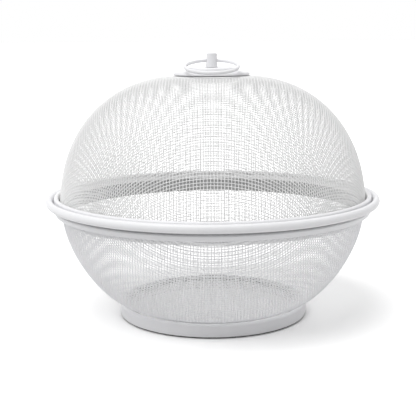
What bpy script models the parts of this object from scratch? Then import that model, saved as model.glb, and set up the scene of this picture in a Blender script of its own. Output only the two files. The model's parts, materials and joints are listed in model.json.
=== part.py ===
"""Wire-mesh fruit basket with a lift-off domed lid and a ring pull.

Metres, +Z up. The origin is on the basket's axis, at the level it stands on.
The front of the basket, to which the ring pull leans at rest, is -Y.

The meshes are woven cloth pressed over a form. Their wires keep their length
and turn at the crossings, so the squares of the cloth shear into diamonds
towards the four corners of the weave. The nets here follow that same drape
at a coarser pitch than the cloth's own.
"""
import math

import bmesh
import bpy
import numpy as np
from mathutils import Matrix, Vector
from mathutils.geometry import interpolate_bezier

# Driving dimensions
RIM_RADIUS = 0.1400
RIM_HEIGHT = 0.1032
FOOT_RADIUS = 0.0800
FOOT_HEIGHT = 0.0132
CROWN_HEIGHT = 0.2018

# Clearances
SEAT_GAP = 0.0003
LID_PLAY = 0.0006
RING_PLAY = 0.00035

# Nets: cloth pitch and wire, as drawn here
NET_PITCH = 0.0220
NET_WIRE = 0.0017
LOCKED_SHARE = 0.98
SPARE_PITCHES = 3
STUB_SHARE = 0.16
THIN_CELL_SHARE = 1.15
LONG_CELL_SHARE = 1.6

# Rim collar: one pressed strip with a rolled bead, a neck, a skirt, a ledge and a lip
COLLAR_SHEET = 0.0010
BEAD_WIDTH = 0.0059
BEAD_HEIGHT = 0.0068
BEAD_OPEN_ANGLE = math.radians(100)
NECK_MOUTH_DROP = 0.0046
NECK_DROP = 0.0067
NECK_INSET = 0.0033
NECK_HEIGHT = 0.0022
SKIRT_DROP = 0.0097
SKIRT_INSET = 0.0016
SKIRT_BEND = 0.0006
SKIRT_TAPER = 0.0012
LEDGE_DROP = 0.0128
LEDGE_BEND = 0.0010
LEDGE_LIP = 0.0015

# Clamp bands inside the mesh edges
BAND_SHEET = 0.0008
BOWL_BAND_HEIGHT = 0.0066
LID_BAND_HEIGHT = 0.0078

# Lid rim: an upside-down channel with one long leg and one short leg
LID_RIM_SHEET = 0.0008
LID_RIM_RISE = 0.0011
LID_RIM_CROWN = 0.0017
SHORT_LEG = 0.0030

# Bowl curve
BOWL_FOOT_SLOPE = math.radians(25.6)
BOWL_FOOT_PULL_SHARE = 0.525
BOWL_TOP_PULL_SHARE = 0.375
FLOOR_BEND = 0.0170

# Dome curve
CROWN_RADIUS = 0.0310
CROWN_SLOPE = math.radians(1.5)
DOME_FOOT_PULL_SHARE = 0.625
DOME_CROWN_PULL_SHARE = 0.545

# Foot ring
FOOT_SHEET = 0.0012
FOOT_TAPER = 0.0006
FOOT_SOLE = 0.0050
FOOT_SOLE_BEND = 0.0010
FOOT_FLANGE = 0.0065

# Cap plate: a pressed disc with a rolled edge, a shallow cone and a raised boss
CAP_SHEET = 0.0012
CAP_RADIUS = 0.0316
CAP_EDGE_HEIGHT = 0.0022
CAP_EDGE_BEND = 0.0017
CAP_CONE_RISE = 0.0016
BOSS_RADIUS = 0.0205
BOSS_HEIGHT = 0.0020
BOSS_BEND = 0.0008

# Knob post, its screw and the backing plate under the crown
POST_HEIGHT = 0.01225
POST_BASE_RADIUS = 0.0049
POST_TOP_RADIUS = 0.0044
POST_DOME = 0.0014
HOLE_DROP = 0.0067
SCREW_RADIUS = 0.0020
SCREW_PLAY = 0.0004
SCREW_WEB = 0.0006
SCREW_HEAD_RADIUS = 0.0042
SCREW_HEAD_HEIGHT = 0.0024
SCREW_HEAD_BEND = 0.0008
BACKING_SHEET = 0.0012
BACKING_RADIUS = 0.0220
BACKING_BEND = 0.0015
BACKING_DROP = 0.0009

# Ring pull
RING_RADIUS = 0.02146
RING_WIRE = 0.00147
RING_REST_GAP = 0.0016

# One overrun serves every cut
OVERRUN = 0.0020

# Facets
RIM_SIDES = 52
SMALL_SIDES = 32
POST_SIDES = 24
HOLE_SIDES = 16
RING_SIDES = 44
WIRE_SIDES = 8
BEAD_POINTS = 7
ROLL_POINTS = 6
DOME_POINTS = 5
FLOOR_POINTS = 8
CURVE_POINTS = 24
MERGE = 1e-6
SWING_STEPS = 36

# Worked out: radii of the seat, from the wall of the collar inwards
FACET_SHARE = math.cos(math.pi / RIM_SIDES)
NET_HALF = NET_WIRE / 2
BEAD_WALL_RADIUS = RIM_RADIUS - BEAD_WIDTH + COLLAR_SHEET / 2
LID_OUTER_RADIUS = (RIM_RADIUS - BEAD_WIDTH) * FACET_SHARE - LID_PLAY
LID_SHORT_LEG_RADIUS = LID_OUTER_RADIUS - LID_RIM_SHEET / 2
LID_LONG_LEG_RADIUS = LID_SHORT_LEG_RADIUS - 2 * LID_RIM_CROWN + LID_RIM_SHEET / 2
LID_NET_RADIUS = (LID_LONG_LEG_RADIUS - LID_RIM_SHEET / 2) * FACET_SHARE - SEAT_GAP - NET_HALF
LIP_RADIUS = (LID_LONG_LEG_RADIUS - LID_RIM_SHEET / 2) * FACET_SHARE - SEAT_GAP - COLLAR_SHEET / 2
BOWL_NET_RADIUS = (LIP_RADIUS - COLLAR_SHEET / 2) * FACET_SHARE - SEAT_GAP - NET_HALF

# Worked out: levels of the seat
LEDGE_TOP = RIM_HEIGHT - LEDGE_DROP
LIP_TOP = LEDGE_TOP + LEDGE_LIP
BOWL_NET_TOP = LIP_TOP - NET_HALF
LID_RIM_TOP = RIM_HEIGHT + LID_RIM_RISE
LID_NET_FOOT = LIP_TOP + SEAT_GAP + NET_WIRE

# Worked out: levels of the crown and the knob
CAP_FOOT = CROWN_HEIGHT + NET_HALF + SEAT_GAP
BOSS_TOP = CAP_FOOT + CAP_EDGE_HEIGHT + CAP_CONE_RISE + BOSS_HEIGHT
BACKING_TOP = CROWN_HEIGHT - NET_HALF - SEAT_GAP
BACKING_FOOT = BACKING_TOP - BACKING_SHEET
POST_FOOT = BOSS_TOP + SEAT_GAP
TOTAL_HEIGHT = POST_FOOT + POST_HEIGHT
HOLE_HEIGHT = TOTAL_HEIGHT - HOLE_DROP
RING_SAG = RING_RADIUS - math.sqrt(RING_RADIUS ** 2 - POST_TOP_RADIUS ** 2)
HOLE_RADIUS = RING_WIRE + RING_SAG / 2 + RING_PLAY
RING_REACH = RING_RADIUS - RING_SAG / 2
RING_DROP = HOLE_HEIGHT - CROWN_HEIGHT - NET_HALF - RING_REST_GAP - RING_WIRE
RING_LEAN = math.asin(RING_DROP / (RING_REACH + RING_RADIUS))
SCREW_BORE_RADIUS = SCREW_RADIUS + SCREW_PLAY
SCREW_BORE_TOP = HOLE_HEIGHT - HOLE_RADIUS - SCREW_WEB
SCREW_TIP = SCREW_BORE_TOP - SCREW_PLAY
SCREW_SEAT = BACKING_FOOT - SEAT_GAP

# Finishes: colour, roughness and metallic value
WHITE_COAT = ((0.86, 0.86, 0.85, 1.0), 0.42, 0.0)
ZINC_PLATE = ((0.62, 0.63, 0.64, 1.0), 0.35, 1.0)


def new_collection(name):
    collection = bpy.data.collections.new(name)
    bpy.context.scene.collection.children.link(collection)
    return collection


def new_material(name, finish=WHITE_COAT):
    """A material with one Principled shader, for one piece."""
    colour, roughness, metallic = finish
    material = bpy.data.materials.new(name)
    material.use_nodes = True
    shader = material.node_tree.nodes["Principled BSDF"]
    shader.inputs["Base Color"].default_value = colour
    shader.inputs["Roughness"].default_value = roughness
    shader.inputs["Metallic"].default_value = metallic
    material.diffuse_color = colour
    return material


def new_object(name, mesh, collection):
    piece = bpy.data.objects.new(name, mesh)
    collection.objects.link(piece)
    return piece


def new_piece(name, mesh, collection, finish=WHITE_COAT):
    """An object of the basket, with a material of its own."""
    mesh.materials.append(new_material(name, finish))
    return new_object(name, mesh, collection)


def turned(name, outline, sides, collection, finish=WHITE_COAT):
    """A half section at +X, as radii and heights, turned about the Z axis.

    The outline of a solid runs down its outer side.
    """
    mesh = bpy.data.meshes.new(name)
    corners = [(radius, 0, height) for radius, height in outline]
    edges = [(i, i + 1) for i in range(len(corners) - 1)]
    mesh.from_pydata(corners, edges, [])
    piece = new_piece(name, mesh, collection, finish)
    screw = piece.modifiers.new("turned", "SCREW")
    screw.axis = "Z"
    screw.steps = sides
    screw.render_steps = sides
    screw.use_merge_vertices = True
    screw.merge_threshold = MERGE
    screw.use_smooth_shade = True
    return piece


def weigh_normals(piece):
    """Let the broad faces rule the shading, so that flats stay flat beside their bends."""
    piece.modifiers.new("shading", "WEIGHTED_NORMAL")


def turned_sheet(name, path, thickness, sides, collection):
    """A pressed or rolled sheet: the path is the middle of its thickness."""
    piece = turned(name, path, sides, collection)
    shell = piece.modifiers.new("sheet", "SOLIDIFY")
    shell.thickness = thickness
    shell.offset = 0
    shell.use_even_offset = True
    weigh_normals(piece)
    return piece


def arc(centre, half_width, half_height, start, end, points):
    """Points along an ellipse, in radius and height."""
    angles = [start + (end - start) * i / (points - 1) for i in range(points)]
    return [
        (centre[0] + half_width * math.cos(a), centre[1] + half_height * math.sin(a))
        for a in angles
    ]


def bezier(start, start_pull, end_pull, end, points):
    """Points along a curve between two ends that are pulled by handles."""
    knots = [Vector((r, 0, z)) for r, z in (start, start_pull, end_pull, end)]
    return [(p.x, p.z) for p in interpolate_bezier(*knots, points)]


def bowl_profile():
    """The bowl's cloth, from the axis out along the floor and up the wall."""
    foot = (
        FOOT_RADIUS - FOOT_SHEET + NET_HALF * math.sin(BOWL_FOOT_SLOPE) - SEAT_GAP,
        FOOT_HEIGHT + NET_HALF * math.cos(BOWL_FOOT_SLOPE) - SEAT_GAP,
    )
    bend = min(FLOOR_BEND, foot[0] / 2)
    floor_height = foot[1] - bend / 2 * math.tan(BOWL_FOOT_SLOPE)
    top = (BOWL_NET_RADIUS, BOWL_NET_TOP)
    width = top[0] - foot[0]
    rise = top[1] - foot[1]
    floor = bezier(
        (foot[0] - bend, floor_height),
        (foot[0] - bend / 2, floor_height),
        (foot[0] - bend / 2, floor_height),
        foot,
        FLOOR_POINTS,
    )
    wall = bezier(
        foot,
        (
            foot[0] + BOWL_FOOT_PULL_SHARE * width * math.cos(BOWL_FOOT_SLOPE),
            foot[1] + BOWL_FOOT_PULL_SHARE * width * math.sin(BOWL_FOOT_SLOPE),
        ),
        (top[0], top[1] - BOWL_TOP_PULL_SHARE * rise),
        top,
        CURVE_POINTS,
    )
    return [(0, floor_height)] + floor[:-1] + wall


def dome_profile():
    """The lid's cloth, from the axis out over the crown and down to its edge."""
    crown = (CROWN_RADIUS, CROWN_HEIGHT)
    foot = (LID_NET_RADIUS, LID_NET_FOOT)
    width = foot[0] - crown[0]
    rise = crown[1] - foot[1]
    shoulder = bezier(
        crown,
        (
            crown[0] + DOME_CROWN_PULL_SHARE * width * math.cos(CROWN_SLOPE),
            crown[1] - DOME_CROWN_PULL_SHARE * width * math.sin(CROWN_SLOPE),
        ),
        (foot[0], foot[1] + DOME_FOOT_PULL_SHARE * rise),
        foot,
        CURVE_POINTS,
    )
    return [(0, CROWN_HEIGHT)] + shoulder


class Form:
    """The surface of revolution that a net is draped over."""

    def __init__(self, profile, run_on):
        (r0, z0), (r1, z1) = profile[-2:]
        stretch = run_on / math.hypot(r1 - r0, z1 - z0)
        beyond = (r1 + (r1 - r0) * stretch, z1 + (z1 - z0) * stretch)
        self.profile = np.array(profile + [beyond])
        self.length = float(np.hypot(*np.diff(self.profile, axis=0).T).sum())

    def height_above(self, points):
        """Distance of points from the surface, positive on the side that is up at its middle."""
        place = np.stack([np.hypot(points[:, 0], points[:, 1]), points[:, 2]], axis=-1)
        start = self.profile[:-1]
        run = self.profile[1:] - start
        offset = place[:, None] - start
        share = (offset * run).sum(-1) / (run * run).sum(-1)
        nearest = offset - np.clip(share, 0, 1)[..., None] * run
        distance = np.hypot(nearest[..., 0], nearest[..., 1])
        best = distance.argmin(axis=1)
        rows = np.arange(len(points))
        side = run[best, 0] * offset[rows, best, 1] - run[best, 1] * offset[rows, best, 0]
        return np.where(side < 0, -1, 1) * distance[rows, best]

    def swing(self, pivot, reach, ahead, up):
        """Swing arms of a given reach about their pivots until they meet the surface."""
        low = np.full(len(pivot), -math.pi / 2)
        high = np.full(len(pivot), math.pi / 2)
        for _ in range(SWING_STEPS):
            angle = (low + high) / 2
            arm = np.cos(angle)[:, None] * ahead + np.sin(angle)[:, None] * up
            over = self.height_above(pivot + reach[:, None] * arm) > 0
            high = np.where(over, angle, high)
            low = np.where(over, low, angle)
        return pivot + reach[:, None] * arm


def unit(vectors):
    return vectors / np.linalg.norm(vectors, axis=-1, keepdims=True)


def drape(form, pitch):
    """Crossings of a square cloth over one quarter of a form, every wire keeping its pitch."""
    count = math.ceil(form.length / pitch) + 1
    nodes = np.full((count, count, 3), np.nan)
    nodes[0, 0] = (pitch / 2, pitch / 2, form.profile[0, 1])
    across, up = np.array([[1.0, 0, 0]]), np.array([[0, 0, 1.0]])
    for i in range(1, count):
        nodes[i, 0] = form.swing(nodes[i - 1, :1], np.array([pitch]), across, up)[0]
        nodes[0, i] = nodes[i, 0, [1, 0, 2]]
    for diagonal in range(2, 2 * count - 1):
        i = np.arange(max(1, diagonal - count + 1), min(diagonal, count))
        j = diagonal - i
        before, beside, behind = nodes[i - 1, j], nodes[i, j - 1], nodes[i - 1, j - 1]
        gap = beside - before
        middle = (before + beside) / 2
        half = np.linalg.norm(gap, axis=-1) / 2
        usable = half < pitch * LOCKED_SHARE
        if not usable.any():
            continue
        i, j, middle, half, gap, behind = (x[usable] for x in (i, j, middle, half, gap, behind))
        ahead = unit(middle - behind)
        reach = np.sqrt(pitch ** 2 - half ** 2)
        nodes[i, j] = form.swing(middle, reach, ahead, np.cross(unit(gap), ahead))
    return nodes


def net_cells(nodes, pitch, edge_height, outward):
    """Four mirrored quarters of a draped net, as faces, cut level at its edge."""
    count = len(nodes)
    beyond = (nodes[..., 2] - edge_height) * outward > (SPARE_PITCHES - 0.5) * pitch
    nodes = np.where(beyond[..., None], np.nan, nodes)
    cloth = bmesh.new()
    made = {}

    def crossing(i, j):
        across, along = (i if i >= 0 else -1 - i), (j if j >= 0 else -1 - j)
        if max(across, along) >= count or np.isnan(nodes[across, along, 0]):
            return None
        if (i, j) not in made:
            x, y, z = nodes[across, along]
            made[i, j] = cloth.verts.new((math.copysign(x, i + 0.5), math.copysign(y, j + 0.5), z))
        return made[i, j]

    for i in range(-count, count):
        for j in range(-count, count):
            corners = [crossing(*at) for at in ((i, j), (i + 1, j), (i + 1, j + 1), (i, j + 1))]
            if all(corners):
                cloth.faces.new(corners)
    bmesh.ops.bisect_plane(
        cloth,
        geom=cloth.verts[:] + cloth.edges[:] + cloth.faces[:],
        plane_co=(0, 0, edge_height),
        plane_no=(0, 0, outward),
        clear_outer=True,
        dist=MERGE,
    )
    return cloth


def tidy_edge(cloth, pitch, edge_height):
    """Join stubs too short to weave and cells too thin to show a hole, at the cut edge."""
    bmesh.ops.remove_doubles(cloth, verts=cloth.verts[:], dist=pitch * STUB_SHARE)
    for vertex in cloth.verts:
        if vertex.is_boundary:
            vertex.co.z = edge_height
    while True:
        thin = [
            cell
            for cell in cloth.faces
            if 2 * cell.calc_area() / cell.calc_perimeter() < THIN_CELL_SHARE * NET_WIRE
        ]
        if not thin:
            break
        inner = [edge for edge in thin[0].edges if not edge.is_boundary]
        longest = max(inner, key=lambda edge: edge.calc_length())
        bmesh.ops.dissolve_edges(cloth, edges=[longest], use_verts=False)


def draped_net(name, profile, edge_height, outward, collection):
    """A net over a form: a strut along every cell edge, and a ring round the cut edge."""
    form = Form(profile, SPARE_PITCHES * NET_PITCH)
    cloth = net_cells(drape(form, NET_PITCH), NET_PITCH, edge_height, outward)
    tidy_edge(cloth, NET_PITCH, edge_height)
    bmesh.ops.recalc_face_normals(cloth, faces=cloth.faces[:])
    mesh = bpy.data.meshes.new(name)
    cloth.to_mesh(mesh)
    cloth.free()
    piece = new_piece(name, mesh, collection)
    wires = piece.modifiers.new("wires", "WIREFRAME")
    wires.thickness = NET_WIRE
    wires.offset = 0
    wires.use_boundary = True
    wires.use_replace = True
    wires.use_even_offset = True
    wires.use_relative_offset = False
    return piece


def cylinder(name, radius, length, sides, place, collection):
    """A closed cylinder along the Z axis of its place."""
    shape = bmesh.new()
    bmesh.ops.create_cone(
        shape,
        cap_ends=True,
        segments=sides,
        radius1=radius,
        radius2=radius,
        depth=length,
        matrix=place,
    )
    mesh = bpy.data.meshes.new(name)
    shape.to_mesh(mesh)
    shape.free()
    cutter = new_object(name, mesh, collection)
    cutter.hide_render = True
    cutter.display_type = "WIRE"
    return cutter


def cut(piece, cutter):
    boolean = piece.modifiers.new(cutter.name, "BOOLEAN")
    boolean.operation = "DIFFERENCE"
    boolean.solver = "EXACT"
    boolean.object = cutter


def offset_outwards(profile, radius, distance):
    """The point at a distance below a profile that rises outwards, square to it."""
    for (r0, z0), (r1, z1) in zip(profile, profile[1:]):
        if r1 >= radius:
            break
    share = (radius - r0) / (r1 - r0)
    height = z0 + share * (z1 - z0)
    length = math.hypot(r1 - r0, z1 - z0)
    return (radius + distance * (z1 - z0) / length, height - distance * (r1 - r0) / length)


def make_foot_ring(bowl, collection):
    """A rolled strip: flat sole turned in below, flange turned in under the cloth."""
    wall = FOOT_RADIUS - FOOT_SHEET / 2
    under_cloth = NET_HALF + SEAT_GAP + FOOT_SHEET / 2
    sole = wall - FOOT_TAPER
    path = [
        offset_outwards(bowl, wall - FOOT_FLANGE, under_cloth),
        offset_outwards(bowl, wall - FOOT_FLANGE / 2, under_cloth),
        offset_outwards(bowl, wall - under_cloth * math.sin(BOWL_FOOT_SLOPE), under_cloth),
        (sole, FOOT_SHEET / 2 + FOOT_SOLE_BEND),
        (sole - FOOT_SOLE_BEND, FOOT_SHEET / 2),
        (sole - FOOT_SOLE, FOOT_SHEET / 2),
    ]
    return turned_sheet("foot_ring", path, FOOT_SHEET, RIM_SIDES, collection)


def make_rim_collar(collection):
    """The bead rolled outwards, the neck pressed in under it, the skirt, the ledge and the lip."""
    half = COLLAR_SHEET / 2
    centre = (RIM_RADIUS - BEAD_WIDTH / 2, RIM_HEIGHT - BEAD_HEIGHT / 2)
    bead = arc(
        centre,
        BEAD_WIDTH / 2 - half,
        BEAD_HEIGHT / 2 - half,
        -BEAD_OPEN_ANGLE,
        math.pi,
        BEAD_POINTS,
    )
    neck = BEAD_WALL_RADIUS - NECK_INSET
    neck_top = RIM_HEIGHT - NECK_DROP
    skirt = BEAD_WALL_RADIUS - SKIRT_INSET
    skirt_top = RIM_HEIGHT - SKIRT_DROP
    skirt_foot = skirt - SKIRT_TAPER
    ledge = LEDGE_TOP - half
    path = bead + [
        (BEAD_WALL_RADIUS, RIM_HEIGHT - NECK_MOUTH_DROP),
        (neck, neck_top),
        (neck, neck_top - NECK_HEIGHT),
        (skirt - SKIRT_BEND, skirt_top),
        (skirt, skirt_top - SKIRT_BEND),
        (skirt_foot, ledge + LEDGE_BEND),
        (skirt_foot - LEDGE_BEND, ledge),
        (LIP_RADIUS, ledge),
        (LIP_RADIUS, LIP_TOP),
    ]
    return turned_sheet("rim_collar", path, COLLAR_SHEET, RIM_SIDES, collection)


def make_clamp_band(name, net_radius, foot, height, collection):
    """A plain strip inside a mesh edge, pressed against it by spot welds."""
    sag = (LONG_CELL_SHARE * NET_PITCH) ** 2 / (8 * net_radius)
    radius = net_radius - sag - NET_HALF - SEAT_GAP - BAND_SHEET / 2
    path = [(radius, foot + height), (radius, foot)]
    return turned_sheet(name, path, BAND_SHEET, RIM_SIDES, collection)


def make_lid_rim(collection):
    """An upside-down channel: its long leg stands on the ledge and backs the cloth."""
    half = LID_RIM_SHEET / 2
    middle = (LID_LONG_LEG_RADIUS + LID_SHORT_LEG_RADIUS) / 2
    half_width = (LID_SHORT_LEG_RADIUS - LID_LONG_LEG_RADIUS) / 2
    crown_rise = LID_RIM_CROWN - half
    roll = arc((middle, LID_RIM_TOP - LID_RIM_CROWN), half_width, crown_rise, 0, math.pi, ROLL_POINTS)
    path = [
        (LID_SHORT_LEG_RADIUS, LID_RIM_TOP - LID_RIM_CROWN - SHORT_LEG),
        *roll,
        (LID_LONG_LEG_RADIUS, LEDGE_TOP + SEAT_GAP),
    ]
    return turned_sheet("lid_rim", path, LID_RIM_SHEET, RIM_SIDES, collection)


def make_cap_plate(collection):
    """The stepped disc on the crown that carries the post."""
    half = CAP_SHEET / 2
    edge = CAP_RADIUS - half
    cone_foot = CAP_FOOT + CAP_EDGE_HEIGHT - half
    cone_top = cone_foot + CAP_CONE_RISE
    boss_top = BOSS_TOP - half
    boss = BOSS_RADIUS - half
    path = [
        (edge, CAP_FOOT),
        (edge, cone_foot - CAP_EDGE_BEND / 2),
        (edge - CAP_EDGE_BEND / 2, cone_foot - half / 2),
        (edge - CAP_EDGE_BEND, cone_foot),
        (boss + BOSS_BEND, cone_top),
        (boss, cone_top + BOSS_BEND / 2),
        (boss, boss_top - BOSS_BEND),
        (boss - BOSS_BEND, boss_top),
        (SCREW_BORE_RADIUS, boss_top),
    ]
    return turned_sheet("cap_plate", path, CAP_SHEET, SMALL_SIDES, collection)


def make_backing_plate(collection):
    """The dished washer that holds the crown of the mesh up against the cap plate."""
    middle = BACKING_TOP - BACKING_SHEET / 2
    path = [
        (BACKING_RADIUS - BACKING_SHEET / 2, middle - BACKING_DROP),
        (BACKING_RADIUS - BACKING_SHEET / 2 - BACKING_BEND, middle),
        (SCREW_BORE_RADIUS, middle),
    ]
    return turned_sheet("backing_plate", path, BACKING_SHEET, SMALL_SIDES, collection)


def make_knob_post(collection, cutters):
    """A tapered post with a domed top, a hole across it and a tapped bore up into it."""
    dome_foot = TOTAL_HEIGHT - POST_DOME
    dome = arc((0, dome_foot), POST_TOP_RADIUS, POST_DOME, math.pi / 2, 0, DOME_POINTS)
    outline = dome + [(POST_BASE_RADIUS, POST_FOOT), (0, POST_FOOT)]
    post = turned("knob_post", outline, POST_SIDES, collection)
    across = Matrix.Translation((0, 0, HOLE_HEIGHT)) @ Matrix.Rotation(math.pi / 2, 4, "Y")
    hole_length = 2 * (POST_BASE_RADIUS + OVERRUN)
    cut(post, cylinder("ring_hole_cutter", HOLE_RADIUS, hole_length, HOLE_SIDES, across, cutters))
    bore_foot = POST_FOOT - OVERRUN
    upright = Matrix.Translation((0, 0, (bore_foot + SCREW_BORE_TOP) / 2))
    bore_length = SCREW_BORE_TOP - bore_foot
    cut(post, cylinder("screw_bore_cutter", SCREW_BORE_RADIUS, bore_length, HOLE_SIDES, upright, cutters))
    weigh_normals(post)
    return post


def make_knob_screw(collection):
    """The screw from inside the lid: its head bears on the backing plate."""
    head_foot = SCREW_SEAT - SCREW_HEAD_HEIGHT
    outline = [
        (0, SCREW_TIP),
        (SCREW_RADIUS, SCREW_TIP),
        (SCREW_RADIUS, SCREW_SEAT),
        (SCREW_HEAD_RADIUS, SCREW_SEAT),
        (SCREW_HEAD_RADIUS, head_foot + SCREW_HEAD_BEND),
        (SCREW_HEAD_RADIUS - SCREW_HEAD_BEND, head_foot),
        (0, head_foot),
    ]
    screw = turned("knob_screw", outline, HOLE_SIDES, collection, ZINC_PLATE)
    weigh_normals(screw)
    return screw


def make_ring_handle(collection):
    """The ring threaded through the post; it turns about the axis of the hole."""
    hinge = bpy.data.objects.new("ring_hinge", None)
    collection.objects.link(hinge)
    hinge.location = (0, 0, HOLE_HEIGHT)
    hinge.rotation_euler = (RING_LEAN, 0, 0)
    bpy.ops.mesh.primitive_torus_add(
        major_radius=RING_RADIUS,
        minor_radius=RING_WIRE,
        major_segments=RING_SIDES,
        minor_segments=WIRE_SIDES,
    )
    ring = bpy.context.object
    for owner in ring.users_collection:
        owner.objects.unlink(ring)
    collection.objects.link(ring)
    ring.name = ring.data.name = "ring_handle"
    ring.data.transform(Matrix.Translation((0, -RING_REACH, 0)))
    ring.data.shade_smooth()
    ring.data.materials.append(new_material("ring_handle"))
    ring.parent = hinge
    return ring


def build():
    for piece in list(bpy.data.objects):
        bpy.data.objects.remove(piece)
    parts = new_collection("mesh_fruit_basket")
    cutters = new_collection("cutters")
    bowl = bowl_profile()
    draped_net("basket_mesh", bowl, BOWL_NET_TOP, 1, parts)
    make_foot_ring(bowl, parts)
    make_rim_collar(parts)
    band_foot = LIP_TOP - BOWL_BAND_HEIGHT
    make_clamp_band("basket_clamp_band", BOWL_NET_RADIUS, band_foot, BOWL_BAND_HEIGHT, parts)
    draped_net("lid_mesh", dome_profile(), LID_NET_FOOT, -1, parts)
    make_lid_rim(parts)
    lid_band_foot = LID_NET_FOOT - NET_HALF
    make_clamp_band("lid_clamp_band", LID_NET_RADIUS, lid_band_foot, LID_BAND_HEIGHT, parts)
    make_cap_plate(parts)
    make_backing_plate(parts)
    make_knob_post(parts, cutters)
    make_knob_screw(parts)
    make_ring_handle(parts)


build()
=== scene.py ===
"""Dresses the mesh fruit basket: woven wire cloth, rolled rims, knob and ring, coating and studio.

Metres, +Z up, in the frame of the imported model. The front, to which the ring leans, is -Y.
"""

import json
import math

import bmesh
import bpy
import numpy as np
from bpy.props import FloatProperty, FloatVectorProperty, IntProperty, PointerProperty
from mathutils import Euler, Matrix, Vector
from mathutils.geometry import interpolate_bezier


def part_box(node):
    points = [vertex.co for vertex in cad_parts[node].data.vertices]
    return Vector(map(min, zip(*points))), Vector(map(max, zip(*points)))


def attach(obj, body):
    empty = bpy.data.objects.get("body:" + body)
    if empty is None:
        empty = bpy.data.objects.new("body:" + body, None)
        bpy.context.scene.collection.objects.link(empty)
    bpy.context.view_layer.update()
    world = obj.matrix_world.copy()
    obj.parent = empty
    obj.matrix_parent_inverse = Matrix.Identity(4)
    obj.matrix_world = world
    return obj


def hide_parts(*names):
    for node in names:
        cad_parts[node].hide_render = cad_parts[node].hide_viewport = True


bl_info = {
    "name": "Mesh Fruit Basket",
    "version": (1, 0, 0),
    "blender": (4, 5, 0),
    "location": "View3D > Sidebar > Basket",
    "description": "A covered fruit basket of woven wire cloth, with its coating and a studio",
    "category": "Add Mesh",
}

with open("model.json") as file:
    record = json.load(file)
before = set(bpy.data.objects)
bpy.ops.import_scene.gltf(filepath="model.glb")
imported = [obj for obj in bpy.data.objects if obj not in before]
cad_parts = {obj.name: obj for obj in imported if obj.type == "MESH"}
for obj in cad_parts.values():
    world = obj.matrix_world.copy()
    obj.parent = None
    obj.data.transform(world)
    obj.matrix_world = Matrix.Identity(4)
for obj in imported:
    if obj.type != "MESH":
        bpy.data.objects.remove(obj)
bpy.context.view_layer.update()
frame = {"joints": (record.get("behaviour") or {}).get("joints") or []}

# Points closer than this are one
MERGE = 1e-7
# Halvings in the search for the place where a wire meets the form
SWING_STEPS = 30
# A cell of the cloth is left out where its diagonal reaches this share of two pitches
LOCKED_SHARE = 0.98
# How far the form goes on past the cloth's cut edge
SPARE_LENGTH = 0.012
# A corner is left sharp where half its turn, in radians, is less than this
FLAT_BEND = 0.01

# Points along curves, and sides of turned pieces
CURVE_POINTS = 40
FLOOR_POINTS = 12
ROUND_POINTS = 6
BEAD_POINTS = 30
CROWN_POINTS = 16
POST_DOME_POINTS = 12
POST_SIDES = 72
SCREW_SIDES = 64
HOLE_SIDES = 40
RING_SIDES = 120
RING_WIRE_SIDES = 20

# The studio: how far the floor goes to each side, and the width of the camera's sensor in millimetres
FLOOR_REACH = 30
SENSOR_WIDTH = 36


# What the frame says

def outer_radius(node):
    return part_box(node)[1].x


def top(node):
    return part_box(node)[1].z


def foot(node):
    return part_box(node)[0].z


RIM_RADIUS = outer_radius("rim_collar")
RIM_TOP = top("rim_collar")
POST_TOP = top("knob_post")
POST_FOOT = foot("knob_post")
RING_AXIS = next(joint for joint in frame["joints"] if joint["name"] == "ring_swing")["pos_m"][2]


# Sizes and finishes that a user would change

def length(name, description, default):
    return FloatProperty(name=name, description=description, default=default, unit="LENGTH", precision=5)


def share(name, description, default):
    return FloatProperty(name=name, description=description, default=default, min=0, max=2, subtype="FACTOR")


def turn(name, description, degrees):
    return FloatProperty(name=name, description=description, default=math.radians(degrees), subtype="ANGLE")


def colour(name, description, default):
    return FloatVectorProperty(
        name=name, description=description, default=default, size=3, min=0, max=1, subtype="COLOR"
    )


def direction(name, description, default):
    return FloatVectorProperty(name=name, description=description, default=default, size=3, subtype="XYZ")


class BASKET_PG_cloth(bpy.types.PropertyGroup):
    """The woven cloth of bowl and lid, and the forms it is pressed over"""

    pitch: length("Pitch", "Distance between neighbouring wires of the cloth", 0.00252)
    wire: length("Wire", "Thickness of a coated wire", 0.00060)
    crimp: share("Crimp", "How far a wire is bent at a crossing, of its radius", 0.35)
    bowl_radius: length("Bowl radius", "Radius of the bowl's cloth at its upper edge", 0.12654)
    bowl_edge: length("Bowl edge", "Height of the bowl's cut edge", top("basket_mesh"))
    bowl_foot_radius: length("Bowl foot radius", "Where the bowl's cloth leaves the foot ring", 0.07887)
    bowl_foot_height: length("Bowl foot height", "Height of the cloth at the foot ring", 0.01367)
    bowl_foot_slope: turn("Bowl foot slope", "Slope of the cloth at the foot ring", 25.6)
    bowl_foot_pull: share("Bowl foot pull", "How far the wall keeps that slope", 0.525)
    bowl_top_pull: share("Bowl top pull", "How far the wall stays upright below its edge", 0.375)
    floor_bend: length("Floor bend", "Width of the bend between floor and wall", 0.0170)
    lid_radius: length("Lid radius", "Radius of the dome's cloth at its edge", 0.1279)
    lid_edge: length("Lid edge", "Height of the dome's cut edge", foot("lid_mesh"))
    crown_height: length("Crown height", "Height of the flat crown", 0.2018)
    crown_radius: length("Crown radius", "Radius of the flat crown", 0.0310)
    crown_slope: turn("Crown slope", "Slope of the dome beside the flat crown", 1.5)
    crown_pull: share("Crown pull", "How far the dome keeps that slope", 0.545)
    lid_pull: share("Lid pull", "How far the dome stays upright above its edge", 0.625)


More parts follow.
